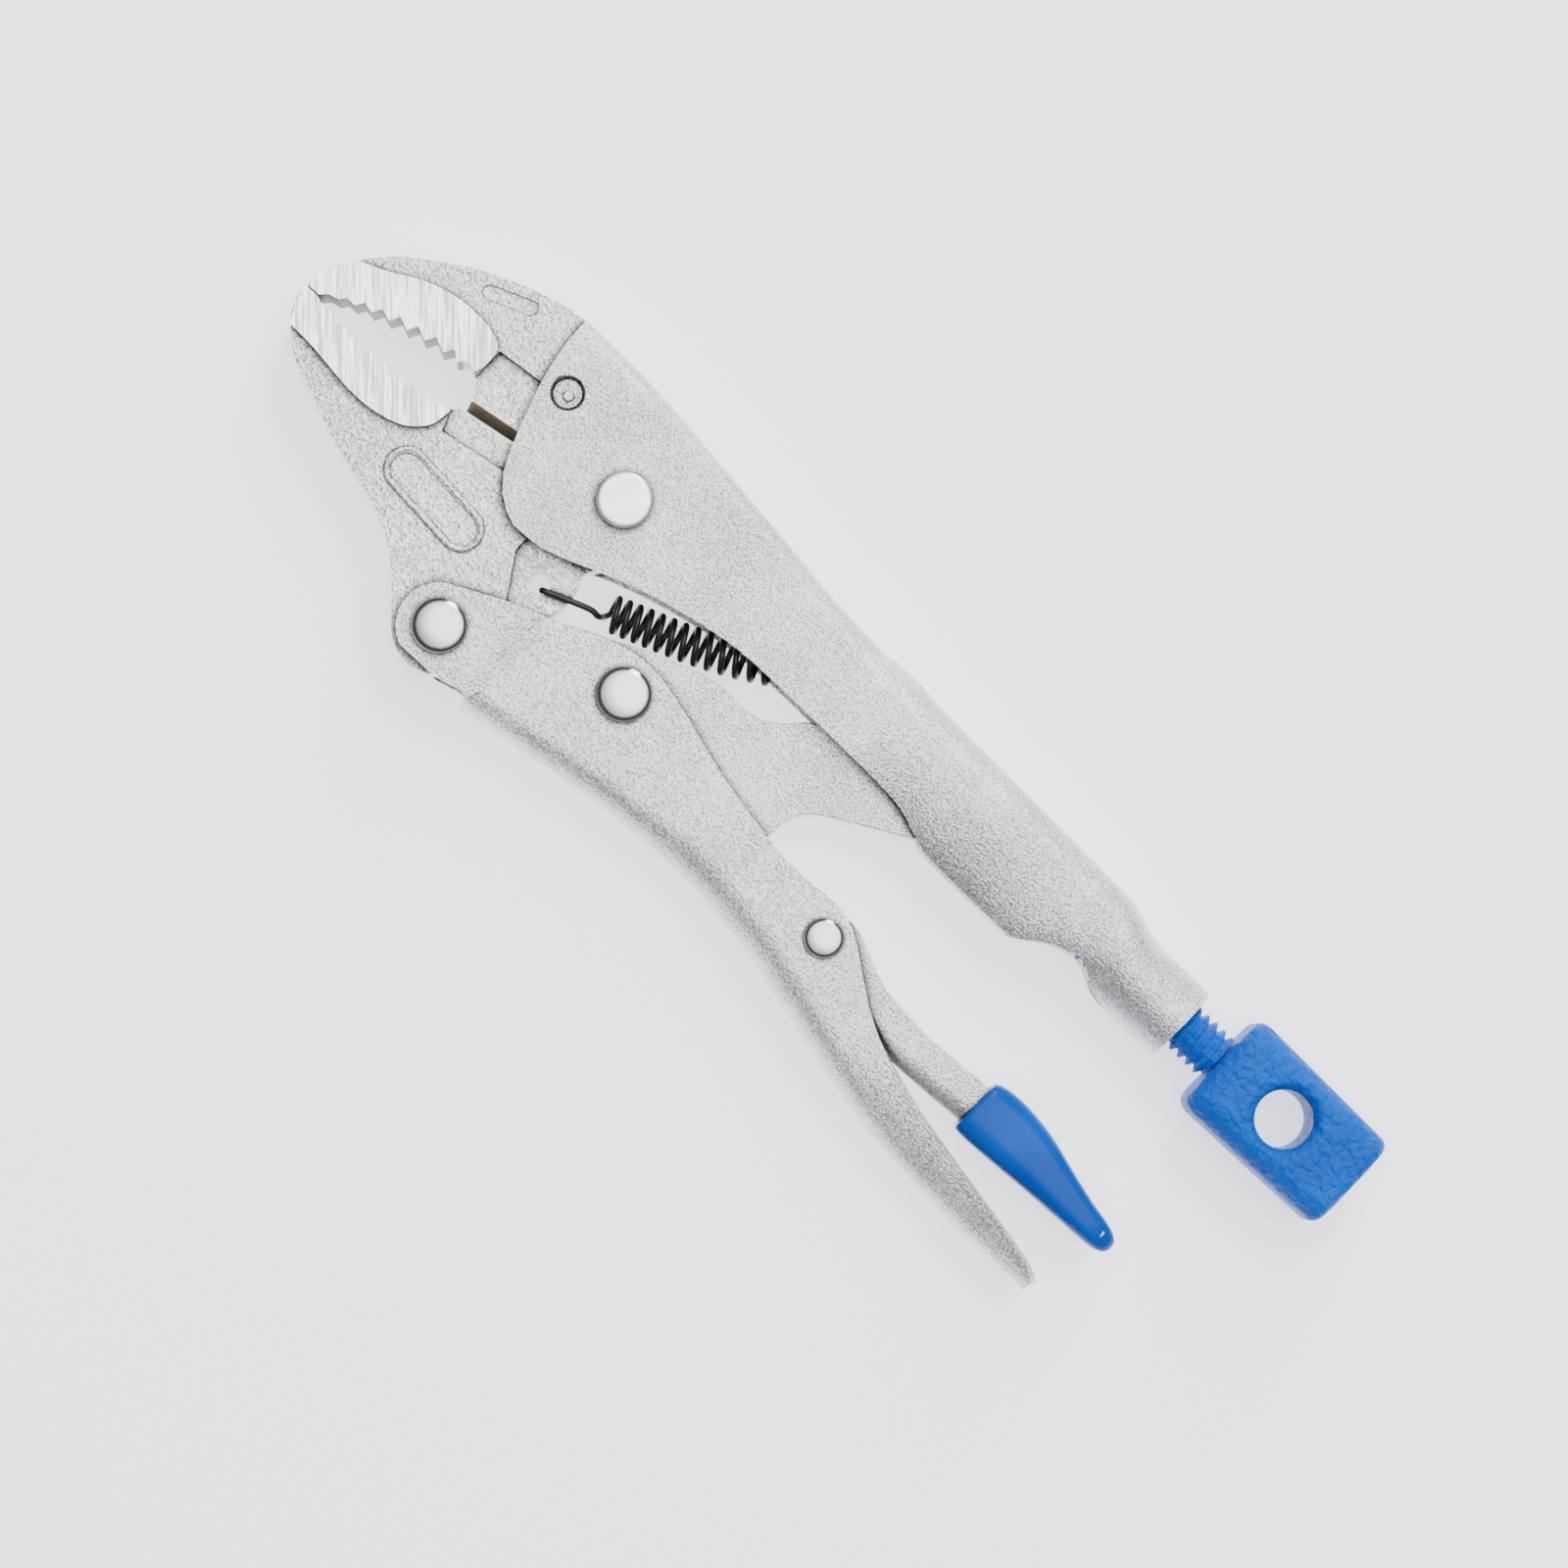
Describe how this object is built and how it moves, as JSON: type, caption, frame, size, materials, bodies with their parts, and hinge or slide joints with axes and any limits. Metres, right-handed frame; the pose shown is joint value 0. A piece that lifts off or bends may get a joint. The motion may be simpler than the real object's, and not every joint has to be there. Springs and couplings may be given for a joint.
{
  "type": "locking pliers",
  "caption": "Locking pliers with curved toothed jaws, a wire cutter, a toggle link, a release lever with a dipped grip and a block-headed adjusting screw.",
  "frame": {"origin": "on the main pivot's axis, at the plane the tool lies on (the underside of the main rivet)", "axes": "+X runs back along the adjusting screw towards its head, +Y towards the upper handle's back, +Z along the pivots"},
  "size_m": [0.2524, 0.0728, 0.0189],
  "materials": {
    "handle_steel": "satin nickel plate",
    "jaw_steel": "satin nickel plate with ground teeth",
    "rivet_steel": "polished",
    "spring_steel": "black oxide",
    "screw_blue": "pebbled blue coating",
    "grip_blue": "glossy dipped vinyl"
  },
  "bodies": {
    "fixed_jaw_body": {"upper_handle": "handle_steel", "upper_jaw": "jaw_steel", "jaw_stake_pin": "jaw_steel", "main_rivet": "rivet_steel", "return_spring": "spring_steel"},
    "moving_jaw_body": {"lower_jaw": "jaw_steel"},
    "lower_handle_body": {"lower_handle": "handle_steel", "handle_rivet": "rivet_steel", "link_rivet": "rivet_steel", "lever_rivet": "rivet_steel"},
    "toggle_link_body": {"toggle_link": "handle_steel"},
    "release_lever_body": {"release_lever": "handle_steel", "lever_grip": "grip_blue"},
    "screw_shank_body": {"adjusting_screw": "screw_blue"},
    "screw_head_body": {"screw_head": "screw_blue"}
  },
  "joints": [
    {"name": "jaw_pivot", "type": "hinge", "parent": "fixed_jaw_body", "child": "moving_jaw_body", "pos_m": [0, 0, 0.00945], "axis": [0, 0, 1], "range_deg": [0, 20.6], "deforming": ["return_spring"]},
    {"name": "handle_pivot", "type": "hinge", "parent": "moving_jaw_body", "child": "lower_handle_body", "pos_m": [-0.0084, -0.0399, 0.00945], "axis": [0, 0, 1], "range_deg": [-64, 0]},
    {"name": "link_pivot", "type": "hinge", "parent": "lower_handle_body", "child": "toggle_link_body", "pos_m": [0.0245, -0.0256, 0.00945], "axis": [0, 0, 1], "range_deg": [0, 72]},
    {"name": "release_pivot", "type": "hinge", "parent": "lower_handle_body", "child": "release_lever_body", "pos_m": [0.0816, -0.0324, 0.00945], "axis": [0, 0, 1], "range_deg": [-5, 0]},
    {"name": "screw_travel", "type": "slide", "parent": "fixed_jaw_body", "child": "screw_shank_body", "axis": [1, 0, 0], "range_m": [0, 0.02]},
    {"name": "screw_turn", "type": "hinge", "parent": "screw_shank_body", "child": "screw_head_body", "pos_m": [0.1496, 0.002, 0.00945], "axis": [1, 0, 0], "range_deg": [0, 3601]}
  ],
  "couplings": [
    {"joint": "jaw_pivot", "follows": "handle_pivot", "ratio": -0.317},
    {"joint": "link_pivot", "follows": "handle_pivot", "ratio": -1.121},
    {"joint": "screw_turn", "follows": "screw_travel", "rad_per_m": 3141.6}
  ]
}
